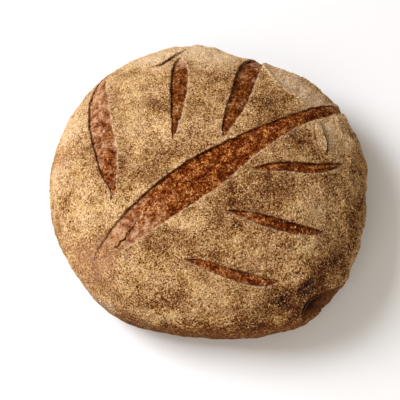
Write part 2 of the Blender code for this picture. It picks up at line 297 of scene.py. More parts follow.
# what a cut leaves at each place of the crust, in this order; wall is painted shade under the lip and over
# shaded hollows, and rim a painted highlight along the rim
markNames = ("height", "shiftU", "shiftV", "opened", "wall", "rim", "bake", "tear", "streak", "bare")


def atSteps(values, way):
    return np.interp(way, np.linspace(0, 1, len(values)), values)


def sectionOf(cut, path, stations, offset):
    # a cut's cross-section at some stations of its path, each at its own offset from the middle
    left = leftOf(path)[stations]
    half = path[stations, 2]
    way = stations / (len(path) - 1)
    fromLip = half - offset
    fromRim = half + offset
    wall = wallAt(half)
    span = np.maximum(2 * (half - wall), tiny)
    share = clamp((fromLip - wall) / span)
    floor = (-cut["drop"] + (cut["drop"] - cut["step"]) * np.sqrt(share)
             + cut.get("crown", 0) * np.sin(math.pi * share)) * mm
    wall = np.maximum(wall, tiny)
    rise, rim = cut["rise"] * mm, cut["rim"] * mm
    height = np.where(fromLip < wall, rise + (floor - rise) * fromLip / wall, floor)
    height = np.where(fromRim < wall, rim + (floor - rim) * fromRim / wall, height)
    height = np.where(fromLip <= 0, rise * fading(fromLip, torn["lipReach"]), height)
    height = np.where(fromRim <= 0, rim * fading(fromRim, cut.get("reach", torn["rimReach"])), height)
    depth = (half / path[:, 2].max()) ** torn["depthPower"]

    # the lip leans over the floor, and the floor runs in under it
    hang = cut["hang"] * mm
    runIn = torn["runIn"]
    lean = hang * np.where(fromLip <= 0, fading(fromLip, torn["hangReach"]), 1 - (1 + runIn) * fromLip / wall)
    lean = np.where(fromLip > wall, -runIn * hang * fading(wall - fromLip, torn["runInReach"]), lean)
    lean = np.where(fromRim < 2 * wall, 0, lean) * depth

    # in a covered start the skin has only stretched, and the opened crust comes in gradually
    showing = clamp(way / max(cut.get("covered", 0), tiny))
    inside = clamp(np.minimum(fromLip, fromRim) / (torn["softEdge"] * mm) + 0.5)
    opened = inside * upTo(half, torn["openWidth"]) * showing
    # painted shade: a dark line down the wall under the lip, and over a hollow that the cut shades, also beyond its
    # rim
    fromLine = np.abs(fromLip - torn["shadeAt"] * wall)
    shade = clamp(1 - fromLine / (torn["shadeWidth"] * mm)) * (fromLip > 0)
    shade = shade * atSteps(cut.get("edge", (1, 1)), way)
    hollowShade = atSteps(cut.get("hollowShade", (0, 0)), way)
    deep = np.where(fromRim < 0, fading(fromRim, cut.get("hollowShadeReach", torn["hollowShadeReach"])), inside)
    shade = np.maximum(shade, hollowShade * deep) * upTo(half, 1) * depth
    # a painted highlight along the rim, and none where a hollow is shaded
    paintedHighlight = (1 - hollowShade) * fading(-np.abs(fromRim), torn["rimWidth"]) * upTo(half, torn["rimFull"]) * showing
    paintedHighlight *= torn["rimHighlight"]
    bake = atSteps(cut["bake"], way)
    tear, later = cut["tear"]
    tear = tear + (later - tear) * clamp(way * torn["tearGrowth"])
    bare = np.zeros(len(half))
    if "bare" in cut:
        bare = np.where(fromRim < 0, np.exp(-(fromRim / (cut["bare"] * mm)) ** torn["barePower"]), inside)
        bare = bare * upTo(half, 1)

    # streaks along the cut
    streak = np.zeros(len(half))
    long, across = torn["streak"]
    spacing = np.hypot(*np.diff(path[:, :2], axis=0).T).mean()
    for k in np.flatnonzero(opened > 0):
        streak[k] = noise.noise(Vector((stations[k] * spacing / (long * mm), offset[k] / (across * mm), path[0, 0])))
    return np.stack([height * depth, -left[:, 0] * lean, -left[:, 1] * lean, opened, shade, paintedHighlight,
                     bake * opened, tear * opened, streak * opened, bare], 1)


def marksOf(cut, skin):
    path = smoothPath(cut["path"], mm)
    marks = np.zeros((len(skin), len(markNames)))
    lowest, highest = path[:, :2].min(0) - torn["margin"] * mm, path[:, :2].max(0) + torn["margin"] * mm
    near = np.flatnonzero(((skin > lowest) & (skin < highest)).all(1))
    if len(near):
        nearest, offset = nearestOn(path, skin[near])
        marks[near] = sectionOf(cut, path, nearest, offset)
    return marks


def linesOf(cut):
    # the lines that the crust's mesh follows, from outside the lip to outside the rim
    path = smoothPath(cut["path"], torn["station"] * mm)
    left = leftOf(path)
    half = path[:, 2]
    wall = wallAt(half)
    beyond = np.minimum(torn["lineBeyond"] * mm, torn["wallShare"] * half)
    stations = np.arange(len(path))
    lines = []
    for offset in (half + beyond, half, half - 0.5 * wall, half - wall, wall - half, -half, -half - beyond):
        lines.append((path[:, :2] + left * offset[:, None], sectionOf(cut, path, stations, offset)))
    return lines


# The crust's mesh and its finer relief, in millimetres
crust = {
    "facet": 1.25,
    "floorFacet": 0.85,
    "rowShare": 0.87,  # rows of equal triangles lie this share of a side apart
    "linesClear": 0.45,  # no other places this many facets from a cut's lines
    "floorClear": 0.4,
    "foldCrest": ((46.5, 102), (49, 93.8), (51.7, 84.5), (53.8, 75), (56.8, 68.3), (62, 63.4), (68.1, 59.2),
                  (73.3, 55), (77.5, 46)),
    "foldHeight": 3,
    "foldHollow": 2.4,
    "foldInside": 7,  # how far each side of the fold reaches
    "foldOutside": 3.5,
    "foldBeyond": 16,
    "foldHighlight": (1.9, 1.5),  # how strong the painted highlight on its crest is, and how wide
    "foldDusted": (3, 24),  # how even the flour is beyond it, and how far
    "blisters": ((9, 0.5), (5, 0.34), (2.4, 0.24)),  # size across and height of the fine lumps
    "blistersInCut": 0.7,  # they are lower by this share in a cut
    "rightRougher": 0.9,  # the right side is rougher by up to this share
    "knobs": ((14, 1.7), (6, 1)),  # and has bumps near its edge, as the far side does
    "knobsFrom": (88, 112),  # which grow between these distances from the crown
    "knobsTurn": 0.6,  # most of them in this direction, in radians
    "knobsSpread": 0.4,  # and the more, the further round
    "crumb": ((3.4, 0.5), (1.9, 0.4)),  # size and height of the ridges in the opened crust
    "crumbTop": 0.45,  # the ridges' tops, and how steep they are
    "crumbSteep": 2.2,
    "crumbCurl": (4, 1.5),  # the ridges curl at this size, by this much
    "crestShares": (0.5, 0.6),  # how far each kind of ridge is gold on top, partly painted highlight
    "streakShare": 0.35,
    "lowest": 0.02,  # no crust is lower than this, apart from its edge
    "underLift": 0.7,  # the underside's middle is this far off the board
    "underUneven": (18, 0.3),  # size and height of its unevenness
    "underFacet": 5,
    "underClear": 0.6,  # facets between its edge and the places inside
    "mapTop": (0.42, 0.415),  # middle and half size of each half of the map
    "mapUnder": (0.875, 0.115),
    "mapReach": 130,
}


def ringPlaces(facet):
    rings = round(skinReach / (facet * crust["rowShare"]))
    places = [np.zeros((1, 2))]
    for ring in range(1, rings + 1):
        reach = skinReach * ring / rings
        count = max(6, round(2 * math.pi * np.interp(reach, alongDome, radiusAt) / facet))
        turn = (np.arange(count) + 0.5 * (ring % 2)) * 2 * math.pi / count
        places.append(reach * np.stack([np.cos(turn), np.sin(turn)], 1))
    return np.concatenate(places), count


def floorPlaces(cut, facet):
    # a finer grid on the floor of a cut
    path = smoothPath(cut["path"], mm)
    reach = path[:, 2].max()
    lowest, highest = path[:, :2].min(0) - reach, path[:, :2].max(0) + reach
    columns = np.arange(lowest[0], highest[0], facet)
    rows = np.arange(lowest[1], highest[1], facet * crust["rowShare"])
    u, v = np.meshgrid(columns, rows)
    u = u + (np.arange(len(rows)) % 2)[:, None] * facet / 2
    grid = np.stack([u.ravel(), v.ravel()], 1)
    nearest, offset = nearestOn(path, grid)
    return grid[path[nearest, 2] - np.abs(offset) > torn["wallWidth"] * mm + crust["floorClear"] * facet]


def foldAt(skin):
    # the fold beyond the far right cut: its relief, a painted highlight along its crest, and its evenly dusted far
    # side
    crest = smoothPath([(u, v, 0) for u, v in crust["foldCrest"]], mm, strays=False)
    nearest, offset = nearestOn(crest, skin)
    apart = np.abs(offset)
    middle = 1 - (np.abs(nearest / (len(crest) - 1) - 0.5) * 2) ** 4
    near = np.exp(-apart / (crust["foldOutside"] * mm))
    inside = crust["foldHeight"] * np.exp(-apart / (crust["foldInside"] * mm))
    outside = crust["foldHeight"] * near
    outside -= crust["foldHollow"] * (1 - near) * np.exp(-apart / (crust["foldBeyond"] * mm))
    relief = middle * np.where(offset > 0, outside, inside) * mm
    strength, width = crust["foldHighlight"]
    paintedHighlight = clamp(strength * middle * np.exp(-(apart / (width * mm)) ** 2))
    strength, width = crust["foldDusted"]
    beyond = middle ** 0.5 * (offset > 0) * clamp(strength * np.exp(-apart / (width * mm)))
    return relief, paintedHighlight, beyond


def noiseAt(places, size, shift=0.0):
    # shift is any number, so that no two patterns are alike
    return np.array([noise.noise(Vector(place)) for place in places / (size * mm) + shift])


def crumbAt(places):
    # curly ridges, about -1 to 1 times the height of each kind
    size, strength = crust["crumbCurl"]
    curl = np.stack([noiseAt(places, size, shift) for shift in (41.3, 47.9, 53.1)], 1) * strength * mm
    curled = places + curl
    ridges = [crust["crumbTop"] - crust["crumbSteep"] * np.abs(noiseAt(curled, width, shift))
              for (width, _), shift in zip(crust["crumb"], (23.7, 29.3))]
    relief = sum(height * mm * ridge for (_, height), ridge in zip(crust["crumb"], ridges))
    coarse, fine = crust["crestShares"]
    return relief, clamp(0.5 + coarse * ridges[0] + fine * ridges[1])


def layOut():
    # every place of the crust's mesh, the edges it keeps, and what the cuts do there
    places, rimCount = ringPlaces(crust["facet"] * mm)
    inner = places[:-rimCount]
    keep = np.ones(len(inner), bool)
    for cut in cuts.values():
        path = smoothPath(cut["path"], mm)
        nearest, offset = nearestOn(path, inner)
        clear = torn["lineBeyond"] + crust["linesClear"] * crust["facet"]
        keep &= np.abs(offset) - path[nearest, 2] > clear * mm
    grids = [floorPlaces(cut, crust["floorFacet"] * mm) for cut in cuts.values()]
    free = np.concatenate([inner[keep], *grids, places[-rimCount:]])
    total = len(free)
    rim = range(total - rimCount, total)
    edges = list(zip(rim, [*rim[1:], rim[0]]))
    everywhere = [free]
    marks = [sum(marksOf(cut, free) for cut in cuts.values())]
    for cut in cuts.values():
        others = [other for other in cuts.values() if other is not cut]
        lines = linesOf(cut)
        tips = lines[0][0][[0, -1]]
        first, last = total, total + 1
        everywhere.append(tips)
        marks.append(sum(marksOf(other, tips) for other in others))
        total += 2
        for line, lineMarks in lines:
            inside = line[1:-1]
            chain = [first, *range(total, total + len(inside)), last]
            edges += list(zip(chain, chain[1:]))
            everywhere.append(inside)
            marks.append(lineMarks[1:-1] + sum(marksOf(other, inside) for other in others))
            total += len(inside)
    return np.concatenate(everywhere), edges, np.concatenate(marks), rim


# Flour and browning, from 0 to 1. Each patch is (u, v, size, flour, browning, thin even veil), and its last three
# are hundredths more or less.
dusting = {
    "nearReach": 132,  # how far down the near side the flour goes
    "farReach": 152,
    "nearSide": (-80, 62),  # the near side's direction and how far it reaches to each hand, in degrees
    "edgeSoftness": 8,
    "edgeRagged": (13, 9),  # size and depth of the flour's uneven edge
    "bareMost": 0.65,  # how bare the foot below the flour is
    "bareMiddle": 0.75,  # and what share of it in the middle, and more to the right
    "bareRight": 0.9,
    "flour": 0.6,
    "browning": 0.38,
    "foldBrowning": 0.2,  # beyond the fold
    "bareBrowning": 0.45,  # where the crust is bare
    "bareCleared": 0.9,  # this share of the flour is gone there
    "below": {"flour": 0.15, "browning": 0.45, "bare": 0.8},  # on the underside
    "flourBlotches": ((24, 0.28), (7, 0.32)),  # size and strength
    "browningBlotches": ((30, 0.45), (12, 0.3)),
    "patches": (
        (-109, -28, 26, 5, -15, 0), (-128, 2, 12, 20, -25, 45), (-130, -30, 12, -30, 30, 10),
        (-124, 12, 15, -22, 20, 45), (-118, 40, 18, 44, -40, 30), (-92, -44, 14, 15, -20, 0),
        (-50, 48, 20, 18, -22, 0), (-35, 124, 20, 30, -35, 20), (-66, 98, 16, 28, -32, 15),
        (-94, 58, 18, 36, -36, 10), (-62, 26, 13, 20, -26, 0), (-62, -3, 13, -8, 18, 0), (-38, -12, 9, -14, 22, 0),
        (-48, 10, 12, 12, -16, 0), (-36, 44, 12, -30, 42, 0), (36, 32, 9, 12, -15, 0), (-24, 2, 14, -5, 20, 10),
        (6, 108, 17, 25, -40, 70), (-42, 101, 13, 25, -35, 90), (-10, 124, 24, 20, -40, 70),
        (26, 128, 18, 20, -35, 60), (-22, 112, 10, 20, -30, 90), (86, 16, 5, 30, -40, 80), (85, 28, 5, 30, -40, 80),
        (70, 88, 20, 10, -30, 0), (-60, 108, 14, 20, -10, 40), (60, 19, 9, -20, 30, 0), (48, 48, 17, -22, 50, 0),
        (2, 50, 16, -12, 35, 0), (50, -29, 19, -22, 50, 0), (61, -26, 8, -20, 30, 0), (29, -60, 12, -20, 30, 0),
        (-3, -58, 12, 5, 0, 0), (-14, -68, 11, -22, 28, 0), (85, -36, 15, 15, 0, 15), (0, -106, 15, 38, -25, 0),
        (-28, -114, 13, -24, 28, 0), (31, -83, 10, 15, 0, 20), (-8, -125, 13, -24, 28, 0), (14, -122, 9, 15, -10, 0),
        (77, -78, 9, -26, 14, 0), (71, -96, 6.5, -22, 95, 0), (59, -101, 7, -20, 55, 0), (46, -104, 11, -16, 22, 0),
        (36, -128, 20, -20, 25, 0), (53, -110, 8, -10, 35, 0), (66, -114, 9, -40, 26, 0), (63, -91, 4, 30, -40, 20),
        (17, -38, 9, -15, 16, 0), (96, 21, 6, 10, -20, 50), (97, 34, 9, 30, -35, 70), (46, 98, 6, 35, -35, 50),
        (110, 30, 9, 20, -20, 30), (86, -94, 8, -30, 20, 0), (112, -46, 20, -38, 45, 0), (124, -12, 16, -12, 5, 0),
        (98, -78, 17, -36, 35, 0), (-80, -77, 15, -40, 20, 70), (-95, -98, 24, -8, 4, 34),
        (-104, -72, 13, -10, 6, 50), (-110, -58, 10, 14, -16, 10), (-84, -114, 16, 18, -14, 15),
        (-46, -118, 9, -16, 20, 0), (-87, -86, 8, -5, 22, -20), (-52, -132, 14, 14, -16, 10),
        (-56, 62, 12, 30, -36, 0), (-60, 88, 9, -14, 20, 0), (-36, 82, 8, 18, -22, 0), (100, 52, 9, 20, -20, 30),
        (78, -42, 9, 12, -15, 10), (110, -22, 9, -16, 20, 0), (46, 0, 9, -12, 18, 0), (29, -44, 9, -12, 16, 0),
        (14, -78, 8, -10, 15, 0), (-40, -12, 9, -14, 20, 0),
    ),
}


def dustingAt(skin, places, opened):
    # flour, browning, veil and bare crust at each place, from 0 to 1
    reach = np.hypot(skin[:, 0], skin[:, 1])
    turn = np.degrees(np.arctan2(skin[:, 1], skin[:, 0]))
    direction, width = dusting["nearSide"]
    nearness = clamp(1 - np.abs(turn - direction) / width) ** 0.5
    limit = dusting["farReach"] + (dusting["nearReach"] - dusting["farReach"]) * nearness
    raggedSize, raggedDepth = dusting["edgeRagged"]
    ragged = noiseAt(places, raggedSize, 7.3) * raggedDepth * mm
    within = clamp((limit * mm + ragged - reach) / (2 * dusting["edgeSoftness"] * mm) + 0.5)
    bareFoot = np.clip((reach - limit * mm - ragged) / (dusting["edgeSoftness"] * mm) - 1, 0, dusting["bareMost"])
    bareFoot = bareFoot * clamp(dusting["bareMiddle"] + dusting["bareRight"] * skin[:, 0] / skinReach)
    flour = np.full(len(skin), dusting["flour"])
    browning = np.full(len(skin), dusting["browning"])
    veil = np.zeros(len(skin))
    for u, v, size, *hundredths in dusting["patches"]:
        near = np.exp(-(np.hypot(skin[:, 0] - u * mm, skin[:, 1] - v * mm) / (size * mm)) ** 2)
        for layer, more in zip((flour, browning, veil), hundredths):
            layer += more / 100 * near
    for (size, strength), shift in zip(dusting["flourBlotches"], (3.1, 5.7)):
        flour += strength * noiseAt(places, size, shift)
    for (size, strength), shift in zip(dusting["browningBlotches"], (8.9, 13.3)):
        browning += strength * noiseAt(places, size, shift)
    flour = clamp(within * flour) * (1 - opened)
    return flour, clamp(browning), clamp(veil) * (1 - opened), bareFoot * (1 - opened)


def makeUnderside(rim):
    # a plain grid inside the underside's edge, a little hollow, as baked dough lifts off the stone
    facet = crust["underFacet"] * mm
    u, v = np.meshgrid(np.arange(rim[:, 0].min(), rim[:, 0].max(), facet),
                       np.arange(rim[:, 1].min(), rim[:, 1].max(), facet))
    grid = np.stack([u.ravel(), v.ravel()], 1)
    middle = rim.mean(0)
    turn = np.arctan2(rim[:, 1] - middle[1], rim[:, 0] - middle[0])
    order = np.argsort(turn)
    edgeReach = np.hypot(*(rim - middle).T)
    gridTurn = np.arctan2(grid[:, 1] - middle[1], grid[:, 0] - middle[0])
    limit = np.interp(gridTurn, turn[order], edgeReach[order], period=2 * math.pi)
    reach = np.hypot(*(grid - middle).T)
    inside = reach < limit - crust["underClear"] * facet
    grid = grid[inside]
    near = reach[inside] / limit[inside]
    places = np.concatenate([rim, grid])
    edges = [(k, (k + 1) % len(rim)) for k in range(len(rim))]
    laid = delaunay_2d_cdt([Vector(place) for place in places], edges, [], 1, 1e-7, True)
    size, height = crust["underUneven"]
    unevenness = np.abs(noiseAt(np.stack([*grid.T, 0 * near], 1), size))
    lift = crust["underLift"] * mm * (1 - near ** 2) + height * mm * unevenness
    under = np.stack([*grid.T, boxLow.z + lift], 1)
    faces = [[laid[3][k][0] for k in reversed(face)] for face in laid[2]]
    return under, faces


def makeCrust():
    skin, edges, marks, rim = layOut()
    laid = delaunay_2d_cdt([Vector(place) for place in skin], edges, [], 0, 1e-7, True)
    chosen = np.array([sources[0] if sources else -1 for sources in laid[3]])
    print("crust: laid", len(chosen), "places, lines crossed at", int((chosen < 0).sum()))
    skin = np.array([tuple(place) for place in laid[0]])
    marks = marks[chosen]
    crossed = chosen < 0
    marks[crossed] = sum(marksOf(cut, skin[crossed]) for cut in cuts.values())
    mark = dict(zip(markNames, marks.T))
    opened = clamp(mark["opened"])

    smooth = wrap(skin)
    reach = np.hypot(skin[:, 0], skin[:, 1])
    foldRelief, foldHighlight, foldVeil = foldAt(skin)
    relief = mark["height"] + foldRelief
    lumpFade = upTo(skinReach - reach, dome["lumpFade"])
    for size, height in dome["lumps"]:
        relief += height * mm * noiseAt(smooth, size) * lumpFade
    rougher = 1 + crust["rightRougher"] * clamp(skin[:, 0] / skinReach)
    for (size, height), shift in zip(crust["blisters"], (11.5, 17.1, 19.9)):
        relief += height * mm * noiseAt(smooth, size, shift) * (1 - crust["blistersInCut"] * opened) * rougher
    nearFoot, outermost = crust["knobsFrom"]
    turn = np.arctan2(skin[:, 1], skin[:, 0]) - crust["knobsTurn"]
    knobby = clamp((reach / mm - nearFoot) / (outermost - nearFoot))
    knobby = knobby * clamp(crust["knobsSpread"] + np.cos(turn))
    for (size, height), shift in zip(crust["knobs"], (31.1, 37.7)):
        relief += height * mm * noiseAt(smooth, size, shift) * knobby * (1 - opened)
    inCut = np.flatnonzero(opened > 0)
    crumbRelief, crest = np.zeros(len(skin)), np.zeros(len(skin))
    crumbRelief[inCut], crest[inCut] = crumbAt(smooth[inCut])
    relief += crumbRelief * mark["tear"]
    relief *= upTo(skinReach - reach, dome["footFade"])

    shift = np.stack([mark["shiftU"], mark["shiftV"]], 1)
    points = wrap(skin + shift) + outward(skin) * relief[:, None]
    onRim = (chosen >= rim[0]) & (chosen <= rim[-1])
    points[onRim, 2] = 0
    points[~onRim, 2] = np.maximum(points[~onRim, 2], crust["lowest"] * mm)
    middle = (points.min(0) + points.max(0)) / 2
    centre = (boxLow + boxHigh) / 2
    points += [centre.x - middle[0], centre.y - middle[1], boxLow.z]

    edge = sorted(np.flatnonzero(onRim), key=lambda k: -math.atan2(skin[k, 1], skin[k, 0]))
    under, underFaces = makeUnderside(points[edge][:, :2])
    first = len(points)
    numbers = np.concatenate([edge, first + np.arange(len(under))])
    faces = [list(face) for face in laid[2]] + [numbers[face].tolist() for face in underFaces]

    flour, browning, veil, bareFoot = dustingAt(skin, smooth, opened)
    bare = clamp(np.maximum(mark["bare"], bareFoot))
    # less flour where the crust is bare, and none under the cuts' painted shade
    flour *= (1 - dusting["bareCleared"] * bare) * (1 - clamp(mark["wall"]))
    browning = (browning + (dusting["foldBrowning"] - browning) * foldVeil
                + (dusting["bareBrowning"] - browning) * bare)
    veil = np.maximum(veil, foldVeil) * (1 - opened) * (1 - bare)
    # the wall layer carries the cuts' painted shade, and the highlight layer the painted highlight along their rims
    # and the fold's crest
    paint = {
        "flour": flour, "browning": browning, "veil": veil, "opened": opened,
        "bake": mark["bake"], "crest": crest + crust["streakShare"] * mark["streak"], "wall": mark["wall"],
        "paintedHighlight": np.maximum(mark["rim"], foldHighlight), "bare": bare, "tear": mark["tear"],
    }
    below = dusting["below"]
    attributes = {name: np.concatenate([clamp(values), np.full(len(under), below.get(name, 0.0))])
                  for name, values in paint.items()}
    return np.concatenate([points, under]), faces, attributes, skin


def addObject(name, data):
    made = bpy.data.objects.new(name, data)
    bpy.context.scene.collection.objects.link(made)
    return made


def meshFrom(name, corners, sides, attributes=None):
    mesh = bpy.data.meshes.new(name)
    mesh.from_pydata(corners.tolist(), [], sides)
    for key, values in (attributes or {}).items():
        made = mesh.attributes.new(key, "FLOAT", "POINT")
        made.data.foreach_set("value", np.asarray(values, np.float32))
    mesh.shade_smooth()
    return addObject(name, mesh)


def addMap(mesh, flat):
    layer = mesh.uv_layers.new(name="OFBake")
    layer.data.foreach_set("uv", flat.astype(np.float32).ravel())


def crustMap(piece, skin, points):
    # the skin as a disc on the map's lower left, and the underside small in its upper right corner
    middle, half = crust["mapTop"]
    top = middle + half * skin / skinReach
    middle, half = crust["mapUnder"]
    under = middle + half * points[len(skin):, :2] / (crust["mapReach"] * mm)
    flat = np.concatenate([top, under])
    corners = np.empty(len(piece.data.loops), np.int32)
    piece.data.loops.foreach_get("vertex_index", corners)
    addMap(piece.data, flat[corners])


crustPoints, crustFaces, crustPaint, crustSkin = makeCrust()
crustPiece = meshFrom("crust", crustPoints, crustFaces, crustPaint)
crustMap(crustPiece, crustSkin, crustPoints)
print("crust: made with", len(crustFaces), "faces")


# Small helpers for the materials' nodes
def startMaterial(name):
    material = bpy.data.materials.new(name)
    material.use_nodes = True
    return material, material.node_tree, material.node_tree.nodes["Principled BSDF"]


def addNode(tree, kind, inputs=None, **settings):
    made = tree.nodes.new(kind)
    for key, value in settings.items():
        setattr(made, key, value)
    for key, value in (inputs or {}).items():
        if isinstance(value, bpy.types.NodeSocket):
            tree.links.new(value, made.inputs[key])
        else:
            made.inputs[key].default_value = value
    return made


def calc(tree, operation, *values):
    return addNode(tree, "ShaderNodeMath", dict(enumerate(values)), operation=operation).outputs[0]


def scaled(tree, value, factor, base=0.0):
    return calc(tree, "MULTIPLY_ADD", value, factor, base)


def centred(tree, value):
    return calc(tree, "SUBTRACT", value, 0.5)


def blend(tree, amount, first, second, kind="MIX"):
    return addNode(tree, "ShaderNodeMix", {0: amount, 6: first, 7: second}, data_type="RGBA",
                   blend_type=kind).outputs[2]


def ramp(tree, value, start, stop, least=0.0, most=1.0):
    made = addNode(tree, "ShaderNodeMapRange", {
        "Value": value, "From Min": start, "From Max": stop, "To Min": least, "To Max": most,
    }, interpolation_type="SMOOTHSTEP")
    return made.outputs[0]


def mottle(tree, place, size, detail=2.0, rough=0.5, curl=0.0):
    made = addNode(tree, "ShaderNodeTexNoise", {
        "Vector": place, "Scale": 1 / (size * mm), "Detail": detail, "Roughness": rough, "Distortion": curl,
    })
    return made.outputs["Fac"]


def bump(tree, height, strength):
    return addNode(tree, "ShaderNodeBump", {"Height": height, "Strength": strength, "Distance": mm}).outputs[0]


def painted(tree, name):
    return addNode(tree, "ShaderNodeAttribute", attribute_name=name).outputs["Fac"]


def linear(red, green, blue):
    # a colour as a screen shows it, 0 to 255, for a shader
    shown = [value / 255 for value in (red, green, blue)]
    return (*[value / 12.92 if value <= 0.04045 else ((value + 0.055) / 1.055) ** 2.4 for value in shown], 1.0)


# The crust's finish
crustLook = {
    # from bare, well baked crust to thick flour
    "tones": ((0, linear(60, 22, 0)), (0.22, linear(103, 57, 13)), (0.46, linear(151, 103, 52)),
              (0.72, linear(194, 152, 100)), (1, linear(229, 197, 150))),
    "middleTone": 0.42,
    "speckle": (0.72, 0.28),  # shares of the grains and the clumps in it
    "contrast": 4.3,  # of the speckle
    "patchContrast": 0.8,
    "perFlour": 0.62,  # how far flour and browning move the tone
    "perBrowning": 0.55,
    "goldTint": (1.03, 1, 0.86, 1),  # the flour's colour wanders between these
    "pinkTint": (0.99, 0.95, 0.98, 1),
    "veilPale": linear(242, 220, 190),
    "veilTan": linear(206, 154, 112),
    "toasted": linear(92, 52, 42),
    "toastedShare": 0.6,
    "burnt": linear(44, 16, 16),
    "plainLight": linear(134, 80, 38),  # bare crust
    "plainDark": linear(82, 42, 14),
    "plainShare": 0.85,
    # painted shade for the cuts' walls and hollows, and the painted highlight's colour along their rims and the
    # fold's crest
    "wallShade": linear(38, 15, 5),
    "palest": linear(246, 222, 178),

    # the opened crust, well baked and less so, from between its ridges to their tops
    "opened": ((0, linear(66, 16, 0)), (0.34, linear(118, 48, 4)), (0.68, linear(158, 82, 20)),
               (1, linear(234, 168, 98))),
    "openedPale": ((0, linear(112, 50, 18)), (0.3, linear(166, 102, 58)), (0.55, linear(196, 140, 92)),
                   (1, linear(226, 182, 134))),
    "paleRidges": (0.7, 0.25),
    "mutedTint": (0.76, 1.16, 2.4, 1),  # of the cuts that tore least, and how much of it
    "muting": 1.2,
    "perCrest": 0.72,  # how far each thing moves the colour towards a ridge's top
    "perCrumb": 0.5,
    "perTornCrumb": 0.95,
    "perSmoothness": 0.08,
    "perBaking": 1.6,
    "ridgeLift": 0.01,

    # size in millimetres, detail, roughness and curl
    "patterns": {
        "grains": (1, 2, 0.6),
        "clumps": (2.2, 1),
        "patches": (7, 2),
        "tints": (15, 2),
        "crumb": (1.1, 1, 0.5, 0.6),
        "stains": (9, 1),
        "curls": (2.8, 1, 0.5, 2),
        "baking": (6, 2),
    },

    # ramps: where each starts and stops, and from how little to how much where that isn't 0 to 1
    "tinting": (0.38, 0.62),
    "toasting": (0.3, 0.9, 0, 0.55),
    "tanning": (0.1, 0.45),
    "veilGrains": (0.36, 0.52, 0.35, 0.9),
    "burning": (0.8, 1, 0, 0.9),
    "burntGrains": (0.3, 0.7, 1, 0.2),
    "arcs": (0, 0.08, 0.44, -0.17),  # thin gold lines on the opened crust
    "baked": (0.15, 0.8),
    "plainGrains": (-0.6, 0.6),
    "highlightClumps": (0.38, 0.52, 0.15, 0.95),

    "roughness": 0.85,
    "specular": 0.06,
    "flourBump": 0.6,
    "clumpHeight": 1.5,
    "openedBump": 0.8,
    "crumbHeight": 1.4,
    "grainHeight": 0.4,
}


def toneRamp(tree, value, tones):
    made = addNode(tree, "ShaderNodeValToRGB", {"Fac": value})
    stops = made.color_ramp.elements
    for place, colour in tones[1:-1]:
        stops.new(place).color = colour
    stops[0].color = tones[0][1]
    stops[-1].color = tones[-1][1]
    return made.outputs["Color"]


def setLook(tree, shader, colour):
    tree.links.new(colour, shader.inputs["Base Color"])
    shader.inputs["Roughness"].default_value = crustLook["roughness"]
    shader.inputs["Specular IOR Level"].default_value = crustLook["specular"]


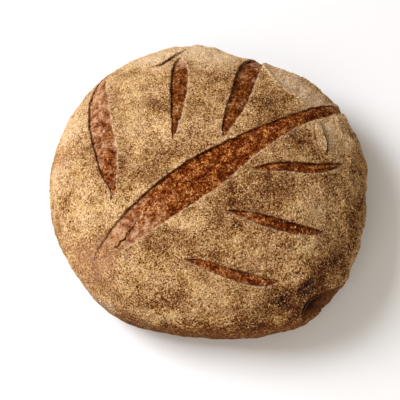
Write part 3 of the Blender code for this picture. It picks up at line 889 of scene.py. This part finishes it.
def crustMaterial():
    material, tree, shader = startMaterial("crust")
    look = crustLook
    place = addNode(tree, "ShaderNodeTexCoord").outputs["Object"]
    flour, browning, veil, opened, bake, crest, wall, paintedHighlight, bare, tear = (
        painted(tree, name) for name in crustPaint)
    grains, clumps, patches, tints, crumb, stains, curls, baking = (
        mottle(tree, place, *pattern) for pattern in look["patterns"].values())

    # the tone of the speckled crust, from bare and brown to floured and pale
    grainShare, clumpShare = look["speckle"]
    speckle = scaled(tree, grains, grainShare, scaled(tree, clumps, clumpShare))
    speckle = scaled(tree, centred(tree, speckle), look["contrast"])
    tone = scaled(tree, flour, look["perFlour"], speckle)
    tone = scaled(tree, browning, -look["perBrowning"], tone)
    tone = scaled(tree, centred(tree, patches), look["patchContrast"], tone)
    floured = toneRamp(tree, calc(tree, "ADD", tone, look["middleTone"]), look["tones"])
    tint = blend(tree, ramp(tree, tints, *look["tinting"]), look["pinkTint"], look["goldTint"])
    floured = blend(tree, 1.0, floured, tint, "MULTIPLY")
    toasted = blend(tree, look["toastedShare"], floured, look["toasted"])
    floured = blend(tree, ramp(tree, browning, *look["toasting"]), floured, toasted)
    even = blend(tree, ramp(tree, browning, *look["tanning"]), look["veilPale"], look["veilTan"])
    veiled = scaled(tree, veil, ramp(tree, grains, *look["veilGrains"]))
    floured = blend(tree, veiled, floured, even)
    burning = ramp(tree, browning, *look["burning"])
    burning = scaled(tree, burning, ramp(tree, speckle, *look["burntGrains"]))
    floured = blend(tree, burning, floured, look["burnt"])
    plain = blend(tree, ramp(tree, speckle, *look["plainGrains"]), look["plainDark"], look["plainLight"])
    floured = blend(tree, scaled(tree, bare, look["plainShare"]), floured, plain)

    # the opened crust: gold on its ridge tops and dark red between them, partly its own colour and partly painted
    # highlight and painted shade, and paler where it baked less
    crumbShare = scaled(tree, tear, look["perTornCrumb"], look["perCrumb"])
    ridge = scaled(tree, crest, look["perCrest"])
    ridge = scaled(tree, centred(tree, crumb), crumbShare, ridge)
    ridge = calc(tree, "ADD", centred(tree, stains), calc(tree, "ADD", ridge, look["ridgeLift"]))
    ridge = scaled(tree, calc(tree, "SUBTRACT", 1.0, tear), look["perSmoothness"], ridge)
    arcs = ramp(tree, calc(tree, "ABSOLUTE", centred(tree, curls)), *look["arcs"])
    ridge = scaled(tree, arcs, tear, ridge)
    uneven = scaled(tree, centred(tree, baking), look["perBaking"], bake)
    lessBaked = toneRamp(tree, scaled(tree, ridge, *look["paleRidges"]), look["openedPale"])
    inner = blend(tree, ramp(tree, uneven, *look["baked"]), lessBaked, toneRamp(tree, ridge, look["opened"]))
    muted = scaled(tree, bake, scaled(tree, tear, -look["muting"], look["muting"]))
    inner = blend(tree, muted, inner, look["mutedTint"], "MULTIPLY")

    colour = blend(tree, opened, floured, inner)
    # painted shade over the cuts' walls and hollows, then a painted highlight along their rims and the fold's crest
    colour = blend(tree, wall, colour, look["wallShade"])
    rim = scaled(tree, paintedHighlight, ramp(tree, clumps, *look["highlightClumps"]))
    setLook(tree, shader, blend(tree, rim, colour, look["palest"]))

    clumped = calc(tree, "ADD", grains, scaled(tree, clumps, look["clumpHeight"]))
    crumbed = scaled(tree, crumb, look["crumbHeight"], scaled(tree, grains, look["grainHeight"]))
    bumps = {4: bump(tree, clumped, look["flourBump"]), 5: bump(tree, crumbed, look["openedBump"])}
    mixed = addNode(tree, "ShaderNodeMix", {0: opened, **bumps}, data_type="VECTOR").outputs[1]
    tree.links.new(mixed, shader.inputs["Normal"])
    return material


crustPiece.data.materials.append(crustMaterial())
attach(crustPiece, "root")
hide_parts("loaf")
print("crust: finished")


# Loose grains on the crust, flour and bran: each kind is one piece
anyFlour = {"count": 24000, "flatness": 0.7, "sunk": 0.25, "onFlour": 1, "onOpened": 0.008, "onVeil": 0.8}
grainKinds = {
    "coarseFlour": {
        **anyFlour, "seed": 11, "small": 0.4, "large": 0.85,
        "palest": 1, "darkest": 0.5, "browning": 0.5,
    },
    "fineFlour": {
        **anyFlour, "seed": 17, "small": 0.25, "large": 0.5,
        "palest": 1.1, "darkest": 0.55, "browning": 0.4,
    },
    "branFlecks": {
        "count": 16000, "seed": 23, "small": 0.25, "large": 0.6, "flatness": 0.35, "sunk": 0.15,
        "onFlour": 0.7, "onOpened": 0.1, "onVeil": 0.3,
        "palest": 0.35, "darkest": 0, "browning": 0.15,
    },
}

grainShape = {
    "mostlySmall": 1.8,  # the higher, the fewer large ones
    "stretch": (0.65, 1.35),  # how long each axis may be
    "jag": 0.18,  # how far a corner strays
    "mapMargin": 0.1,
    "mottling": 0.35,
}

# one grain: eight sides between six corners
grainCorners = np.array([(1, 0, 0), (0, 1, 0), (-1, 0, 0), (0, -1, 0), (0, 0, 1), (0, 0, -1)], float)
grainSides = np.array([(0, 1, 4), (1, 2, 4), (2, 3, 4), (3, 0, 4), (1, 0, 5), (2, 1, 5), (3, 2, 5), (0, 3, 5)])
# on the map its upper sides fill a diamond, and its lower ones the corners round it
grainFlat = {0: (1, 0.5), 1: (0.5, 1), 2: (0, 0.5), 3: (0.5, 0), 4: (0.5, 0.5)}
grainUnder = ((1, 1), (0, 1), (0, 0), (1, 0))


def makeGrains(name):
    kind = grainKinds[name]
    count = kind["count"]
    draw = np.random.default_rng(kind["seed"])
    corners = np.array(crustFaces)
    a, b, c = (crustPoints[corners[:, k]] for k in range(3))
    normals = np.cross(b - a, c - a)
    area = np.linalg.norm(normals, axis=1)
    flour, opened, browning, veil = (crustPaint[key][corners].mean(1)
                                     for key in ("flour", "opened", "browning", "veil"))
    above = (corners < len(crustSkin)).all(1)
    onFlour = kind["onFlour"] * flour * (1 - opened) * (1 + (kind["onVeil"] - 1) * veil)
    weight = (onFlour + kind["onOpened"] * opened) * area * above
    chosen = draw.choice(len(corners), count, p=weight / weight.sum())
    s, t = draw.random((2, count, 1))
    outside = (s + t) > 1
    s, t = np.where(outside, 1 - s, s), np.where(outside, 1 - t, t)
    seat = a[chosen] + (b - a)[chosen] * s + (c - a)[chosen] * t
    up = normals[chosen] / area[chosen, None]
    side = np.cross(up, draw.normal(size=up.shape))
    side /= np.linalg.norm(side, axis=1, keepdims=True)
    front = np.cross(up, side)

    largeness = draw.random(count) ** grainShape["mostlySmall"]
    size = (kind["small"] + (kind["large"] - kind["small"]) * largeness) * mm
    stretch = draw.uniform(*grainShape["stretch"], (count, 3)) * [1, 1, kind["flatness"]]
    local = grainCorners[None] * stretch[:, None] * size[:, None, None]
    jag = grainShape["jag"]
    local += draw.uniform(-jag, jag, local.shape) * size[:, None, None]
    lift = size * (0.5 - kind["sunk"]) * kind["flatness"]
    placed = seat[:, None] + local @ np.stack([side, front, up], 1) + (up * lift[:, None])[:, None]
    sides = grainSides[None] + len(grainCorners) * np.arange(count)[:, None, None]
    tones = kind["darkest"] + (kind["palest"] - kind["darkest"]) * draw.random(count)
    tones = np.repeat(tones - kind["browning"] * (browning[chosen] - dusting["browning"]), len(grainCorners))
    piece = meshFrom(name, placed.reshape(-1, 3), sides.reshape(-1, 3).tolist(), {"tone": tones})
    piece.data.shade_flat()

    # each grain has its own small square on the map
    rowLength = math.ceil(math.sqrt(count))
    cells = np.stack(np.divmod(np.arange(count), rowLength), 1) / rowLength
    square = np.array([grainUnder[index - 4] if corner == 5 else grainFlat[corner]
                       for index, corners in enumerate(grainSides) for corner in corners], float)
    margin = grainShape["mapMargin"]
    addMap(piece.data, (cells[:, None] + (margin + (1 - 2 * margin) * square)[None] / rowLength).reshape(-1, 2))

    material, tree, shader = startMaterial(name)
    place = addNode(tree, "ShaderNodeTexCoord").outputs["Object"]
    uneven = centred(tree, mottle(tree, place, *crustLook["patterns"]["patches"]))
    tone = scaled(tree, uneven, grainShape["mottling"], painted(tree, "tone"))
    setLook(tree, shader, toneRamp(tree, tone, crustLook["tones"]))
    piece.data.materials.append(material)
    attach(piece, "root")
    print(name + ":", count, "grains")


for name in grainKinds:
    makeGrains(name)


# The floor, the lights and the camera
studio = {
    "floorColour": linear(250, 249, 247),
    "floorRoughness": 0.9,
    "floorGap": 0.05,  # between the floor and the loaf, in millimetres
    "floorSize": 6,  # from its middle to each side, in metres
    "worldColour": (1, 0.91, 0.79, 1),
    "worldStrength": 0.36,
    "lights": {
        "key": {"place": (-1.2, 0.35, 1.2), "power": 32, "size": 0.9, "colour": (0.97, 1, 1.09)},
        "fill": {"place": (-0.5, -1.5, 1.1), "power": 12, "size": 1.4, "colour": (1, 0.98, 0.94)},
    },
}

camera = {
    "lens": 85,
    "sensorWidth": 36,
    "elevation": 65,
    "distance": 750,
    "aim": (0, 0, 35),
    "slide": (-6.9, -13.6),  # to the right, and up the picture, in millimetres
}


def makeFloor():
    half = studio["floorSize"]
    corners = [(-half, -half, 0), (half, -half, 0), (half, half, 0), (-half, half, 0)]
    level = boxLow.z - studio["floorGap"] * mm
    piece = meshFrom("studioFloor", np.array(corners, float) + [0, 0, level], [[0, 1, 2, 3]])
    material, tree, shader = startMaterial("studioFloor")
    shader.inputs["Base Color"].default_value = studio["floorColour"]
    shader.inputs["Roughness"].default_value = studio["floorRoughness"]
    piece.data.materials.append(material)


def makeLight(name, place, power, size, colour):
    light = bpy.data.lights.new(name, "AREA")
    light.energy = power
    light.size = size
    light.color = colour
    lamp = addObject(name, light)
    lamp.location = place
    lamp.rotation_euler = (-Vector(place)).to_track_quat("-Z", "Y").to_euler()


def makeWorld():
    world = bpy.data.worlds.new("studio")
    world.use_nodes = True
    background = world.node_tree.nodes["Background"]
    background.inputs["Color"].default_value = studio["worldColour"]
    background.inputs["Strength"].default_value = studio["worldStrength"]
    bpy.context.scene.world = world


def makeCamera():
    tilt = math.radians(camera["elevation"])
    back = Vector((0, -math.cos(tilt), math.sin(tilt)))
    upward = Vector((0, math.sin(tilt), math.cos(tilt)))
    right, raised = camera["slide"]
    aim = (Vector(camera["aim"]) + Vector((right, 0, 0)) + upward * raised) * mm
    view = bpy.data.cameras.new("view")
    view.lens = camera["lens"]
    view.sensor_width = camera["sensorWidth"]
    holder = addObject("view", view)
    holder.location = aim + back * camera["distance"] * mm
    holder.rotation_mode = "QUATERNION"
    holder.rotation_quaternion = (-back).to_track_quat("-Z", "Y")
    bpy.context.scene.camera = holder


makeFloor()
for name, light in studio["lights"].items():
    makeLight(name, **light)
makeWorld()
makeCamera()
bpy.context.scene.view_settings.view_transform = "Standard"
print("studio: ready")
